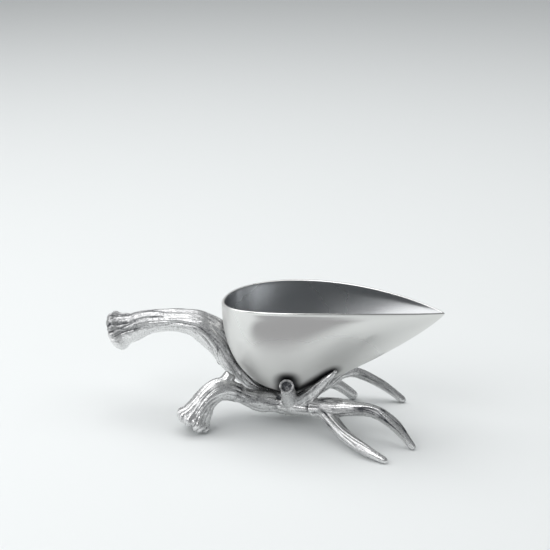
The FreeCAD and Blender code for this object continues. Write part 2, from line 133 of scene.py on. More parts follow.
# %% Build the bowl's grids
COLUMNS = 90
ROWS = 64
RIM_ROUND = 0.75 * MM
RIM_STEPS = 7


def columns_round():
    """Shares of the length for every column, from the spout round the rear and back."""
    one_side = (1 + np.cos(np.linspace(0, math.pi, COLUMNS + 1))) / 2
    far = [(share, 1.0) for share in one_side]
    near = [(share, -1.0) for share in one_side[::-1][1:-1]]
    return np.array(far + near)


def skin(inset, point_inset):
    """Rows of points from the rim down to the flat at the bottom."""
    around = columns_round()
    floor = UNDERSIDE + inset
    rim_x, _ = bowl_wall(around[:, 0], np.full(len(around), RIM), inset, point_inset / 2)
    top = rim_height(rim_x) - RIM_ROUND
    rows = []
    for row in range(ROWS + 1):
        down = math.sin(row / ROWS * math.pi / 2)
        height = top + (floor - top) * down
        point = point_inset * (0.5 + 0.5 * min(1.0, down * 3))
        x, half = bowl_wall(around[:, 0], height, inset, point)
        rows.append(np.column_stack([x, MIDDLE + half * around[:, 1], height]))
    return rows


def rim_rows(outside, inside):
    """Points that carry the outside's top row over to the inside's."""
    rows = []
    for step in range(1, RIM_STEPS):
        angle = math.pi * step / RIM_STEPS
        across = (1 - math.cos(angle)) / 2
        row = outside + (inside - outside) * across
        row[:, 2] += RIM_ROUND * math.sin(angle) ** 0.7
        rows.append(row)
    return rows


def bottom_rows(ring, dish):
    """Rings that close the flat at the bottom, dished a little."""
    centre = ring.mean(axis=0)
    rows = []
    for share in (0.8, 0.6, 0.4, 0.2, 0.06):
        row = centre + (ring - centre) * share
        row[:, 2] = ring[:, 2] - dish * (1 - share ** 2)
        rows.append(row)
    return rows


outer_rows = skin(0.0, 0.0)
inner_rows = skin(WALL, SPOUT_WALL)
all_rows = bottom_rows(outer_rows[-1], 0.0)[::-1] + outer_rows[::-1]
first_inner = len(all_rows) + RIM_STEPS // 2
all_rows += rim_rows(outer_rows[0], inner_rows[0])
all_rows += inner_rows + bottom_rows(inner_rows[-1], 0.15 * MM)
print(len(all_rows), "rows of", len(all_rows[0]), "points")


# %% Turn rows of points into a mesh
def faces_between(rows):
    """Quads that join each ring of points to the next."""
    count = len(rows[0])
    faces = []
    for row in range(len(rows) - 1):
        for here in range(count):
            there = (here + 1) % count
            a, b = row * count, (row + 1) * count
            faces.append((a + here, b + here, b + there, a + there))
    return faces


def mesh_from_rows(name, rows):
    """One closed mesh from rings of points, with a lid at each end."""
    points = np.concatenate(rows)
    count = len(rows[0])
    last = (len(rows) - 1) * count
    lids = [tuple(range(count)), tuple(range(last + count - 1, last - 1, -1))]
    mesh = bpy.data.meshes.new(name)
    mesh.from_pydata(points.tolist(), [], faces_between(rows) + lids)
    mesh.validate()
    return mesh


def show(name, mesh):
    """Put a mesh in the scene with smooth shading and outward faces."""
    tidy = bmesh.new()
    tidy.from_mesh(mesh)
    bmesh.ops.recalc_face_normals(tidy, faces=tidy.faces)
    tidy.to_mesh(mesh)
    tidy.free()
    mesh.shade_smooth()
    piece = bpy.data.objects.new(name, mesh)
    bpy.context.scene.collection.objects.link(piece)
    return piece


bowl = show("bowl_skin", mesh_from_rows("bowl_skin", all_rows))
print("bowl:", len(bowl.data.vertices), "points,", len(bowl.data.polygons), "faces")

# %% [markdown]
# ## Which way the antler grows
# Everything on an antler follows its growth: the grooves run along the beam, split where a tine
# leaves it and close up towards the tips. So before carving anything we lay a growth line
# through every beam and tine, and later ask of each point of the surface which line it belongs
# to, how far along it is and at what angle round it.

# %% Growth lines, in millimetres from the bowl's rear, its low point and its rim
rear, low, top = REAR / MM, LOWEST / MM, RIM / MM
HANDLE_LINES = {
    "beam": [(rear - 93.4, -1, 59, 13), (rear - 73.9, 0, 65.4, 11), (rear - 59.4, 0, 71.6, 9.5),
             (rear - 44.9, 0, 74, 9), (rear - 31.4, 0, 74.4, 9.5), (rear - 16.9, 0, 70.6, 11),
             (rear - 5.5, 0, 59, 11), (rear - 1, 0, 44, 10), (rear + 10, 0, 29, 9),
             (rear + 28, 0, 19.5, 9), (low - 5, 6, 16, 9), (low + 6.5, 15, 17, 9),
             (low + 19, 30, 21, 7), (low + 31, 43.5, 23.5, 4.7), (low + 43, 50, 21.8, 4.2),
             (low + 62.5, 51, 12.8, 3.5), (low + 80, 49.3, 1.5, 2.4)],
    "shoulder": [(rear - 33.5, 0, top - 20.5, 7.5), (rear - 17, 0, top - 21, 7.5),
                 (rear - 4.5, 0, top - 26, 7.5), (rear + 7, 0, top - 38, 7.5)],
    "stub": [(low + 19, 31, 20, 5.2), (low + 27.5, 42, 13.5, 4.6), (low + 39, 47.8, 3, 4)],
}
BASE_LINES = {
    "beam": [(low - 73.5, -41.6, 3, 12), (low - 62, -34, 24, 9), (low - 51, -28, 31.3, 9),
             (low - 35.5, -20, 23.5, 7.2), (low - 23.5, -13.5, 18, 8.3),
             (low - 8.5, -10.3, 16.8, 8.6), (low + 4, -11.3, 16.5, 8.6),
             (low + 19.5, -16, 17.1, 7.5), (low + 36.5, -22, 20.6, 7.2),
             (low + 50.5, -26, 23.2, 5.6), (low + 68.5, -29.5, 23.6, 4.8),
             (low + 86.5, -35, 14.6, 4), (low + 100, -40, 1.5, 2.4)],
    "low_tine": [(low + 25, -18, 17.5, 5.9), (low + 35.5, -29, 13.2, 5.4),
                 (low + 48.5, -44, 8.4, 5), (low + 66.5, -60.5, 5.6, 4.1), (low + 83, -69, 2, 2.5)],
    "reaching_tine": [(low + 2, -12.3, 17, 5.7), (low + 12, -15.3, 24.5, 5.8),
                      (low + 23.4, -17.1, 35.1, 4.6), (low + 30.7, -18.5, 43.8, 3),
                      (low + 35.2, -17.9, 48.7, 1)],
    "knob": [(low, -11.3, 17, 6.6), (low, -19.5, 27.5, 5.9), (low + 0.3, -26, 35.5, 5),
             (low + 0.9, -33.4, 40.3, 5.8)],
    "brow_stub": [(low - 52, -28, 29.8, 6.9), (low - 48, -25.2, 36.8, 5.3),
                  (low - 44.5, -22.8, 43, 4.6)],
}


def growth_line(stations, step=0.8):
    """A smooth line through the stations: places, directions, radius and distance along."""
    p = np.array(stations, float)
    p[:, 1] += MIDDLE / MM
    p = np.vstack([2 * p[0] - p[1], p, 2 * p[-1] - p[-2]])
    samples = []
    for i in range(1, len(p) - 2):
        count = max(2, int(np.linalg.norm(p[i + 1, :3] - p[i, :3]) / step))
        for t in np.arange(count) / count:
            a, b, c, d = p[i - 1], p[i], p[i + 1], p[i + 2]
            samples.append(0.5 * (2 * b + (c - a) * t + (2 * a - 5 * b + 4 * c - d) * t ** 2
                                  + (3 * b - a - 3 * c + d) * t ** 3))
    samples = np.array(samples + [p[-2]])
    place, radius = samples[:, :3] * MM, samples[:, 3] * MM
    way = np.gradient(place, axis=0)
    way /= np.linalg.norm(way, axis=1)[:, None]
    steps = np.linalg.norm(np.diff(place, axis=0), axis=1)
    along = np.concatenate([[0], np.cumsum(steps)])
    side = np.zeros_like(way)
    start = np.cross(way[0], (0.0, 1.0, 0.0))
    side[0] = start / np.linalg.norm(start)
    for i in range(1, len(way)):
        carried = side[i - 1] - way[i] * np.dot(side[i - 1], way[i])
        side[i] = carried / np.linalg.norm(carried)
    return {"place": place, "way": way, "side": side, "other": np.cross(way, side),
            "radius": radius, "along": along}


handle_lines = {name: growth_line(rows) for name, rows in HANDLE_LINES.items()}
base_lines = {name: growth_line(rows) for name, rows in BASE_LINES.items()}
for name, line in {**handle_lines, **base_lines}.items():
    print(f"{name}: {line['along'][-1] / MM:.0f} mm long")


# %% Ask of every point where it is on its lines
def on_line(points, line):
    """For each point: distance along a line, turn round it, and reach as a share of the radius."""
    tree = kdtree.KDTree(len(line["place"]))
    for i, place in enumerate(line["place"]):
        tree.insert(place, i)
    tree.balance()
    nearest = np.array([tree.find(p)[1] for p in points])
    away = points - line["place"][nearest]
    further = np.einsum("ij,ij->i", away, line["way"][nearest])
    across = np.einsum("ij,ij->i", away, line["side"][nearest])
    up = np.einsum("ij,ij->i", away, line["other"][nearest])
    reach = np.linalg.norm(away, axis=1) / line["radius"][nearest]
    return line["along"][nearest] + further, np.arctan2(up, across), reach


# %% [markdown]
# ## A fine skin over the CAD antler
# The CAD antler already has the right bends, cut ends and screw recesses, but its skin is as
# smooth as a pipe. We copy it, wrap the copy in a fine even net with a voxel remesh, and relax
# the net a little. The copy is ours to carve; the CAD solid itself is never touched.

# %% Copy a CAD antler as an even net
NET = 0.52 * MM


def net_over(node, name):
    """An even net of quads over a copy of a CAD node."""
    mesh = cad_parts[node].data.copy()
    weld = bmesh.new()
    weld.from_mesh(mesh)
    bmesh.ops.remove_doubles(weld, verts=weld.verts, dist=0.002 * MM)
    weld.to_mesh(mesh)
    weld.free()
    rough = bpy.data.objects.new(name, mesh)
    bpy.context.scene.collection.objects.link(rough)
    wrap = rough.modifiers.new("wrap", "REMESH")
    wrap.mode = "VOXEL"
    wrap.voxel_size = NET
    relax = rough.modifiers.new("relax", "SMOOTH")
    relax.factor, relax.iterations = 0.5, 6
    seen = rough.evaluated_get(bpy.context.evaluated_depsgraph_get())
    fine = bpy.data.meshes.new_from_object(seen)
    bpy.data.objects.remove(rough)
    fine.name = name
    fine.materials.clear()
    print(f"{name}: {len(fine.vertices)} points")
    return fine


def points_of(mesh):
    """The points of a mesh as one array."""
    flat = np.empty(len(mesh.vertices) * 3)
    mesh.vertices.foreach_get("co", flat)
    return flat.reshape(-1, 3)


def normals_of(mesh):
    """The direction that the skin faces at each point."""
    flat = np.empty(len(mesh.vertices) * 3)
    mesh.vertex_normals.foreach_get("vector", flat)
    return flat.reshape(-1, 3)


handle_net = net_over("handle_antler", "handle_cast")
base_net = net_over("base_antler", "base_cast")

# %% [markdown]
# ## Carving the antler
# Real antler has three kinds of relief. Long grooves, left by blood vessels, wander along the
# beam between rounded ridges. Near the burr the ridges break up into pearls, and the burr itself
# is a ring of beads. Towards the tips the surface is worn smooth. Each is a height that we work
# out from the place along and round the growth line, so nothing has to be drawn by hand. Noise
# folded at zero gives just such rounded ridges with sharp creases.

# %% Small tools for relief
from mathutils import noise


def wander(places, seed=0.0):
    """Smooth noise from -1 to 1 at each place."""
    shift = Vector((seed * 17.3, seed * 9.1, seed * 5.7))
    return np.array([noise.noise(Vector(p) + shift) for p in places])


def pearl_field(places, seed=0.0):
    """Distance to the nearest of many scattered pearls, in their own spacing."""
    shift = Vector((seed * 3.1, seed * 7.7, seed * 1.9))
    return np.array([noise.voronoi(Vector(p) + shift)[0][0] for p in places])


def ease(value, start, end):
    """Rises smoothly from 0 at start to 1 at end."""
    t = np.clip((value - start) / (end - start), 0, 1)
    return t * t * (3 - 2 * t)


def round_about(along, turn, stretch, spread):
    """Places on a tube, so that noise meets itself after a full turn round the beam."""
    return np.column_stack([along / stretch, np.cos(turn) * spread, np.sin(turn) * spread])


def grooves(along, turn, count, stretch, seed, meander=0.25):
    """Rounded ridges with sharp creases that run along a beam."""
    drift = wander(round_about(along, turn, 30 * MM, 0.7), seed + 5)
    turned = turn + meander * drift
    round_it = np.column_stack([np.cos(turned), np.sin(turned)]) * (count / 6.3)
    ridge = wander(np.column_stack([round_it, along / stretch]), seed)
    return np.minimum(np.abs(ridge) * 3.2, 1.0)


# %% Relief of one beam or tine
def relief(along, turn, line, style, seed):
    """Height of the carving in millimetres, and how much dirt its creases hold."""
    total = line["along"][-1]
    radius = line["radius"].mean()
    count = max(5, 2 * math.pi * radius / (style["ridge"] * MM))
    long_cut = grooves(along, turn, count, style["stretch"] * MM, seed, 0.5)
    shorter = style["stretch"] * 0.7 * MM
    fine_cut = grooves(along, turn, count * style["finer"], shorter, seed + 1, 0.12)
    swell = wander(round_about(along, turn, 15 * MM, 1.2), seed + 2)
    comes = ease(wander(round_about(along, turn, 21 * MM, 1.0), seed + 3), -0.5, 0.3)
    height = style["deep"] * (long_cut ** 0.55 - 0.8) * (0.35 + 0.65 * comes)
    height += style["fine"] * (fine_cut ** 0.7 - 0.7) + style["swell"] * swell
    patina_and_shade = (1 - ease(long_cut, 0.05, 0.55)) * (0.3 + 0.7 * comes)
    patina_and_shade = np.maximum(patina_and_shade, style["lines"] * (1 - ease(fine_cut, 0.05, 0.5)))
    if style["worn_end"]:
        worn = ease(along, total - 24 * MM, total - 6 * MM)
        height *= 1 - 0.9 * worn
        patina_and_shade *= 1 - 0.8 * worn
    return height, patina_and_shade


BEAM = {"ridge": 4.2, "stretch": 42, "deep": 1.25, "finer": 2.6, "fine": 0.38, "lines": 0.7,
        "swell": 0.6, "worn_end": False}
TINE = {"ridge": 2.8, "stretch": 70, "deep": 0.8, "finer": 2.0, "fine": 0.34, "lines": 0.95,
        "swell": 0.25, "worn_end": True}
STUB = {"ridge": 3.4, "stretch": 30, "deep": 0.5, "finer": 2.5, "fine": 0.15, "lines": 0.4,
        "swell": 0.25, "worn_end": False}
SHAFT = {**BEAM, "ridge": 3.4, "deep": 0.9, "fine": 0.3, "lines": 0.5}
HANDLE_STYLES = {"beam": BEAM, "shoulder": BEAM, "stub": TINE}
BASE_STYLES = {"beam": SHAFT, "low_tine": TINE, "reaching_tine": TINE, "knob": STUB,
               "brow_stub": STUB}


def carve(mesh, lines, styles, seed):
    """Heights and dirt from the lines that each point lies on, blended where they meet."""
    points, normals = points_of(mesh), normals_of(mesh)
    heights, dirts, weights, facts = [], [], [], {}
    for number, (name, line) in enumerate(lines.items()):
        along, turn, reach = on_line(points, line)
        facts[name] = (along, turn, reach)
        height, patina_and_shade = relief(along, turn, line, styles[name], seed + 10 * number)
        heights.append(height)
        dirts.append(patina_and_shade)
        weights.append(np.exp(-7 * reach))
    share = np.array(weights) / np.sum(weights, axis=0)
    height = (np.array(heights) * share).sum(axis=0)
    patina_and_shade = (np.array(dirts) * share).sum(axis=0)
    return points, normals, height, patina_and_shade, share, facts


# %% [markdown]
# ## Pearls, burrs and broken ends
# The burr is where the antler sat on the animal's head. Round it runs a crown of beads, and the
# beam beside it is covered with pearls. We scatter both from one cell pattern, squeezed along
# the beam for the crown. Sawn and broken ends get a coarse crumbly grain instead of grooves,
# because grooves there would run to a point like the slices of a cake.

# %% Relief of burrs and ends
def crown(along, turn, beads, height, seed):
    """A ring of beads round the burr that fades into the beam."""
    place = np.column_stack([np.cos(turn), np.sin(turn)]) * (beads / 6.3)
    bead = pearl_field(np.column_stack([place, along / (7 * MM)]), seed)
    dome = np.sqrt(np.maximum(0, 1 - (bead / 0.72) ** 2))
    return height * (dome - 0.45) * (1 - ease(along, 7 * MM, 12 * MM))


def pearls(points, spacing, height, seed):
    """Scattered round beads."""
    bead = pearl_field(points / (spacing * MM), seed)
    return height * np.sqrt(np.maximum(0, 1 - (bead / 0.62) ** 2))


def crumbs(points, height, seed):
    """The crumbly inside of an antler where it is sawn or broken."""
    coarse = wander(points / (1.9 * MM), seed)
    return height * (coarse + 0.6 * wander(points / (0.9 * MM), seed + 1))


def cracks(points, spacing, seed):
    """1 along the borders between cells, as where a dried surface has split."""
    shift = Vector((seed * 2.3, seed * 4.1, seed * 6.7))
    near = [noise.voronoi(Vector(p) + shift)[0][:2] for p in points / (spacing * MM)]
    near = np.array(near)
    return 1 - ease(near[:, 1] - near[:, 0], 0.02, 0.16)


def on_end(normals, line, facts, at_start):
    """1 on the cut face at one end of a line, 0 on its sides."""
    way = -line["way"][0] if at_start else line["way"][-1]
    along = facts[0] if at_start else line["along"][-1] - facts[0]
    return ease(normals @ way, 0.55, 0.85) * (1 - ease(along, 2.5 * MM, 5 * MM))


# %% Keep clear of the bowl, the table and the screws
def shell_of(rows):
    """The bowl's outer skin, to measure against."""
    points = [Vector(p) for p in np.concatenate(rows)]
    return bvhtree.BVHTree.FromPolygons(points, faces_between(rows))


def tree_of(mesh):
    """A finished casting, to measure against."""
    return bvhtree.BVHTree.FromPolygons([v.co for v in mesh.vertices],
                                        [tuple(f.vertices) for f in mesh.polygons])


def push_out(points, tree, far, clear=0.03 * MM):
    """Bring points that sank into a neighbour back to its skin."""
    moved = 0
    for i, p in enumerate(points):
        hit, facing, _, _ = tree.find_nearest(Vector(p), far)
        if hit is not None and (Vector(p) - hit).dot(facing) < clear:
            points[i] = hit + facing * clear
            moved += 1
    return moved


def near_screws(points):
    """1 beside a screw's recess, 0 away from it."""
    mask = np.zeros(len(points))
    for node in ("handle_keel", "base_keel", "rear", "cross"):
        head = points_of(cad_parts[node + "_washer"].data)
        middle = head.mean(axis=0)
        axis = np.linalg.svd(head - middle, full_matrices=False)[2][2]
        away = points - middle
        across = np.linalg.norm(away - np.outer(away @ axis, axis), axis=1)
        near = 1 - ease(np.linalg.norm(away, axis=1), 13 * MM, 16 * MM)
        mask = np.maximum(mask, (1 - ease(across, 4.8 * MM, 6.0 * MM)) * near)
    return mask


def set_mask(mesh, name, values):
    """Store one number per point for a finish to read."""
    layer = mesh.attributes.new(name, "FLOAT", "POINT")
    layer.data.foreach_set("value", np.clip(values, 0, 1).astype(np.float32))


def hollow_of(patina_and_shade, height, normals):
    """Where the casting is dark: patina in creases and low places, lighter on undersides as painted
    light.
    """
    # Painted light: undersides keep only about half the darkness, as if lit by the pale floor
    # below.
    faces_up = 0.45 + 0.55 * ease(normals[:, 2], -0.6, 0.1)
    return np.maximum(patina_and_shade, ease(-height, 0.25, 0.8)) * faces_up


def finish_cast(mesh, points, normals, height, hollow, neighbours):
    """Apply the carving, keep clear of what it touches and store where patina and painted shade
    darken it.
    """
    quiet = (1 - near_screws(points)) * ease(points[:, 2], 0.1 * MM, 1.6 * MM)
    points = points + normals * (height * quiet * MM)[:, None]
    points[:, 2] = np.maximum(points[:, 2], 0)
    for tree, far in neighbours:
        print("  pushed out:", push_out(points, tree, far))
    mesh.vertices.foreach_set("co", points.ravel())
    mesh.update()
    # The hollow mask holds patina and painted shade.
    set_mask(mesh, "hollow", hollow * (0.3 + 0.7 * quiet))


outer_shell = shell_of(outer_rows)

# %% Carve the lower antler
points, normals, height, patina_and_shade, share, facts = carve(base_net, base_lines, BASE_STYLES, 1)
index = {name: i for i, name in enumerate(base_lines)}
along, turn, _ = facts["beam"]
on_beam = share[index["beam"]]
near_burr = on_beam * (1 - ease(along, 18 * MM, 34 * MM))
height += crown(along, turn, 25, 1.7, 3) * on_beam
height += pearls(points, 3.6, 0.3, 4) * near_burr

# The beam is knotty and cracked between the brow stub and the knob.
knotty = on_beam * ease(along, 44 * MM, 54 * MM) * (1 - ease(along, 88 * MM, 98 * MM))
height += 1.1 * wander(points / (7.5 * MM), 21) * knotty
split = cracks(points * (0.6, 1, 1), 16, 22) * knotty
height -= 0.5 * split
patina_and_shade = np.maximum(patina_and_shade, 0.55 * split)

shaft = on_beam * (1 - ease(along, 36 * MM, 50 * MM))
patina_and_shade *= 1 - 0.45 * shaft

# A smooth hump stands out of the beam below the knob, and its colour is painted bright as a
# highlight.
hump_place = np.array([LOWEST + 3 * MM, MIDDLE - 20 * MM, 17 * MM])
hump = np.exp(-(np.linalg.norm((points - hump_place) * (0.8, 1, 1), axis=1) / (5.5 * MM)) ** 2)
height = height * (1 - 0.7 * hump) + 2.2 * hump
patina_and_shade *= 1 - 0.8 * hump

# The palm starts with a lip where the near tines leave the beam. The lip is painted bright, a
# painted highlight on top of rubbed wear, and the groove before it is painted dark as its shadow.
lip_place = np.array([LOWEST + 20 * MM, MIDDLE - 17 * MM, 17 * MM])
beam_line = base_lines["beam"]
at_lip = np.argmin(np.linalg.norm(beam_line["place"] - lip_place, axis=1))
lip = beam_line["along"][at_lip] + 2.5 * MM * np.cos(turn * 2)
palm = ease(along, lip, lip + 1.4 * MM) * (1 - ease(along, lip + 10 * MM, lip + 36 * MM))
height += 1.5 * palm * on_beam
groove = ease(along, lip - 3.5 * MM, lip - 0.6 * MM)
groove *= 1 - ease(along, lip - 0.4 * MM, lip + 0.8 * MM)
height -= 0.7 * groove * on_beam
# Painted highlight on the lip, which is also rubbed wear, and painted shadow in the groove beside
# it.
rubbed_and_highlit = ease(along, lip, lip + 1 * MM) * (1 - ease(along, lip + 2 * MM, lip + 4 * MM))
patina_and_shade = np.maximum(patina_and_shade * (1 - 0.7 * rubbed_and_highlit), 0.8 * groove * on_beam)

# The knob and the brow stub end in a broken face, and the knob's is cupped.
faces = {name: on_end(normals, base_lines[name], facts[name], False)
         for name in ("knob", "brow_stub")}
ends = np.clip(sum(face * share[index[name]] for name, face in faces.items()), 0, 1)
cup = faces["knob"] * (1 - ease(facts["knob"][2], 0.45, 0.85))
height = height * (1 - ends) + crumbs(points, 0.35, 6) * ends - 1.8 * cup
patina_and_shade = np.maximum(patina_and_shade * (1 - 0.6 * ends), np.maximum(0.95 * cup, 0.5 * ends))
finish_cast(base_net, points, normals, height, hollow_of(patina_and_shade, height, normals),
            [(outer_shell, 3 * MM)])
base_antler = show("base_cast", base_net)
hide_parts("base_antler")
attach(base_antler, "root")

# %% Carve the handle's antler
points, normals, height, patina_and_shade, share, facts = carve(handle_net, handle_lines, HANDLE_STYLES, 40)
along, turn, _ = facts["beam"]
on_beam = share[list(handle_lines).index("beam")]
near_burr = on_beam * (1 - ease(along, 22 * MM, 46 * MM))
height += crown(along, turn, 26, 1.7, 8) * on_beam
height += pearls(points, 3.0, 0.3, 9) * near_burr
# Painted light: the handle's underside gets shallower carving and less darkening, so it stays pale
# as if lit by the floor.
underside = on_beam * (1 - ease(normals[:, 2], -0.45, 0.05))
underside *= 1 - ease(along, 100 * MM, 130 * MM)
height *= 1 - 0.45 * underside
patina_and_shade *= 1 - 0.6 * underside
# Painted shade: upper faces, most near the burr, are darkened; part is stippled grime, part is
# painted shade on the top of the handle.
grime_and_top_shade = (0.5 + 0.5 * near_burr) * ease(normals[:, 2], -0.35, 0.25)
grime_and_top_shade *= 1 - ease(along, 105 * MM, 150 * MM)
pebbles = wander(points / (1.3 * MM), 12)
height += 0.16 * pebbles * grime_and_top_shade
grime_and_top_shade *= 0.75 + 0.6 * wander(points * (0.5, 1, 1) / (1.5 * MM), 13)
patina_and_shade = np.maximum(patina_and_shade, 0.62 * grime_and_top_shade)
ends = on_end(normals, handle_lines["beam"], facts["beam"], True)
height = height * (1 - ends) + crumbs(points, 0.45, 11) * ends
finish_cast(handle_net, points, normals, height, hollow_of(patina_and_shade, height, normals),
            [(outer_shell, 3 * MM), (tree_of(base_net), 2 * MM)])
handle_antler = show("handle_cast", handle_net)
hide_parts("handle_antler")
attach(handle_antler, "root")

# %% [markdown]
# ## Finishes
# Five finishes cover the object: the bowl's mirror outside, its satin inside, the antiqued
# casting, the steel of the screws and the bead of solder. Two effects are shared, so each is a
# node group with named inputs: a fine grain that every real metal has, and tarnish with painted
# shade, which is dark where patina stays and where shade is painted, and bright where hands and
# cloths rub and where highlights are painted.

# %% A shared fine grain
def new_group(name, inputs, outputs):
    """An empty node group with named sockets."""
    group = bpy.data.node_groups.new(name, "ShaderNodeTree")
    for label, kind, value in inputs:
        socket = group.interface.new_socket(label, in_out="INPUT", socket_type=kind)
        socket.default_value = value
    for label, kind in outputs:
        group.interface.new_socket(label, in_out="OUTPUT", socket_type=kind)
    return group, group.nodes.new("NodeGroupInput"), group.nodes.new("NodeGroupOutput")


def add(tree, kind, **settings):
    """A node with its settings."""
    node = tree.nodes.new(kind)
    for name, value in settings.items():
        setattr(node, name, value)
    return node


def blend_range(tree, value, low_value, high_value, start=0.0, end=1.0):
    """Map a value from start..end to low..high."""
    node = add(tree, "ShaderNodeMapRange")
    tree.links.new(value, node.inputs["Value"])
    node.inputs["From Min"].default_value = start
    node.inputs["From Max"].default_value = end
    node.inputs["To Min"].default_value = low_value
    node.inputs["To Max"].default_value = high_value
    return node.outputs["Result"]


FLOAT, COLOR = "NodeSocketFloat", "NodeSocketColor"
grain_group, g_in, g_out = new_group(
    "metal_grain",
    [("Size", FLOAT, 0.002), ("Stretch", FLOAT, 1.0)],
    [("Height", FLOAT), ("Patches", FLOAT)])
where = add(grain_group, "ShaderNodeTexCoord")
spread = add(grain_group, "ShaderNodeVectorMath", operation="DIVIDE")
parts = add(grain_group, "ShaderNodeCombineXYZ")
longer = add(grain_group, "ShaderNodeMath", operation="MULTIPLY")
grain_group.links.new(g_in.outputs["Size"], longer.inputs[0])
grain_group.links.new(g_in.outputs["Stretch"], longer.inputs[1])
grain_group.links.new(longer.outputs[0], parts.inputs["X"])
grain_group.links.new(g_in.outputs["Size"], parts.inputs["Y"])
grain_group.links.new(g_in.outputs["Size"], parts.inputs["Z"])
grain_group.links.new(where.outputs["Object"], spread.inputs[0])
grain_group.links.new(parts.outputs[0], spread.inputs[1])
fine_noise = add(grain_group, "ShaderNodeTexNoise")
fine_noise.inputs["Scale"].default_value = 1.0
fine_noise.inputs["Detail"].default_value = 4.0
patch_noise = add(grain_group, "ShaderNodeTexNoise")
patch_noise.inputs["Scale"].default_value = 0.17
patch_noise.inputs["Detail"].default_value = 3.0
for texture, output in ((fine_noise, "Height"), (patch_noise, "Patches")):
    grain_group.links.new(spread.outputs[0], texture.inputs["Vector"])
    grain_group.links.new(texture.outputs["Fac"], g_out.inputs[output])
print("group:", grain_group.name)


# %% Shared tarnish, which also carries painted shade and painted highlights
tarnish_and_shade_group, t_in, t_out = new_group(
    "tarnish_and_shade",
    [("Patina_Shade", FLOAT, 0.0), ("Patches", FLOAT, 0.5), ("Speckle", FLOAT, 0.5),
     ("Bright", COLOR, (0.8, 0.8, 0.8, 1)), ("Dark", COLOR, (0.05, 0.05, 0.06, 1)),
     ("Strength", FLOAT, 1.0)],
    [("Color", COLOR), ("Roughness", FLOAT), ("Metal", FLOAT)])
uneven = blend_range(tarnish_and_shade_group, t_in.outputs["Patches"], 0.75, 1.25, 0.3, 0.7)
speckled = add(tarnish_and_shade_group, "ShaderNodeMath", operation="ADD")
tarnish_and_shade_group.links.new(t_in.outputs["Patina_Shade"], speckled.inputs[0])
specks = blend_range(tarnish_and_shade_group, t_in.outputs["Speckle"], -0.12, 0.32, 0.45, 0.75)
tarnish_and_shade_group.links.new(specks, speckled.inputs[1])
dirty = add(tarnish_and_shade_group, "ShaderNodeMath", operation="MULTIPLY")
tarnish_and_shade_group.links.new(speckled.outputs[0], dirty.inputs[0])
tarnish_and_shade_group.links.new(uneven, dirty.inputs[1])
strong = add(tarnish_and_shade_group, "ShaderNodeMath", operation="MULTIPLY", use_clamp=True)
tarnish_and_shade_group.links.new(dirty.outputs[0], strong.inputs[0])
tarnish_and_shade_group.links.new(t_in.outputs["Strength"], strong.inputs[1])
colours = add(tarnish_and_shade_group, "ShaderNodeMix", data_type="RGBA")
tarnish_and_shade_group.links.new(strong.outputs[0], colours.inputs["Factor"])
tarnish_and_shade_group.links.new(t_in.outputs["Bright"], colours.inputs[6])
tarnish_and_shade_group.links.new(t_in.outputs["Dark"], colours.inputs[7])
tarnish_and_shade_group.links.new(colours.outputs[2], t_out.inputs["Color"])
for output, clean, foul in (("Roughness", 0.26, 0.55), ("Metal", 1.0, 0.45)):
    tarnish_and_shade_group.links.new(blend_range(tarnish_and_shade_group, strong.outputs[0], clean, foul),
                            t_out.inputs[output])
print("group:", tarnish_and_shade_group.name)


# %% A metal with grain, ready for its own touches
def metal(name, bright, roughness, grain_size, grain_bump, stretch=1.0, rough_swing=0.3):
    """A metallic material whose roughness and skin vary a little."""
    material = bpy.data.materials.new(name)
    material.use_nodes = True
    tree = material.node_tree
    shader = tree.nodes["Principled BSDF"]
    shader.inputs["Base Color"].default_value = (*bright, 1)
    shader.inputs["Metallic"].default_value = 1.0
    grain = add(tree, "ShaderNodeGroup", node_tree=grain_group)
    grain.inputs["Size"].default_value = grain_size * MM
    grain.inputs["Stretch"].default_value = stretch
    rough = blend_range(tree, grain.outputs["Patches"], roughness * (1 - rough_swing),
                        roughness * (1 + rough_swing), 0.3, 0.7)
    tree.links.new(rough, shader.inputs["Roughness"])
    bump = add(tree, "ShaderNodeBump")
    bump.inputs["Strength"].default_value = 1.0
    bump.inputs["Distance"].default_value = grain_bump * MM
    tree.links.new(grain.outputs["Height"], bump.inputs["Height"])
    tree.links.new(bump.outputs["Normal"], shader.inputs["Normal"])
    return material, tree, shader, grain


mirror = metal("mirror_polish", (0.77, 0.77, 0.755), 0.14, 30.0, 0.004)[0]
satin = metal("satin_inside", (0.60, 0.61, 0.62), 0.27, 9.0, 0.003, rough_swing=0.12)[0]
steel = metal("screw_steel", (0.56, 0.56, 0.55), 0.28, 0.5, 0.008, stretch=3.0)[0]
solder = metal("solder_bead", (0.78, 0.78, 0.77), 0.22, 1.0, 0.03)[0]


# %% The antiqued casting
def antique_cast(name, bright, dark, strength):
    """Bright worn ridges over dark, half-metallic hollows; the mask also carries painted shade and
    highlights.
    """
    material, tree, shader, grain = metal(name, bright, 0.3, 1.1, 0.12)
    mask = add(tree, "ShaderNodeAttribute", attribute_name="hollow")
    tarnish_and_shade = add(tree, "ShaderNodeGroup", node_tree=tarnish_and_shade_group)
    tarnish_and_shade.inputs["Bright"].default_value = (*bright, 1)
    tarnish_and_shade.inputs["Dark"].default_value = (*dark, 1)
    tarnish_and_shade.inputs["Strength"].default_value = strength
    tree.links.new(mask.outputs["Fac"], tarnish_and_shade.inputs["Patina_Shade"])
    tree.links.new(grain.outputs["Patches"], tarnish_and_shade.inputs["Patches"])
    tree.links.new(grain.outputs["Height"], tarnish_and_shade.inputs["Speckle"])
    tree.links.new(tarnish_and_shade.outputs["Color"], shader.inputs["Base Color"])
    tree.links.new(tarnish_and_shade.outputs["Roughness"], shader.inputs["Roughness"])
    tree.links.new(tarnish_and_shade.outputs["Metal"], shader.inputs["Metallic"])
    return material


cast = antique_cast("antiqued_cast", (0.82, 0.82, 0.82), (0.05, 0.053, 0.062), 1.0)
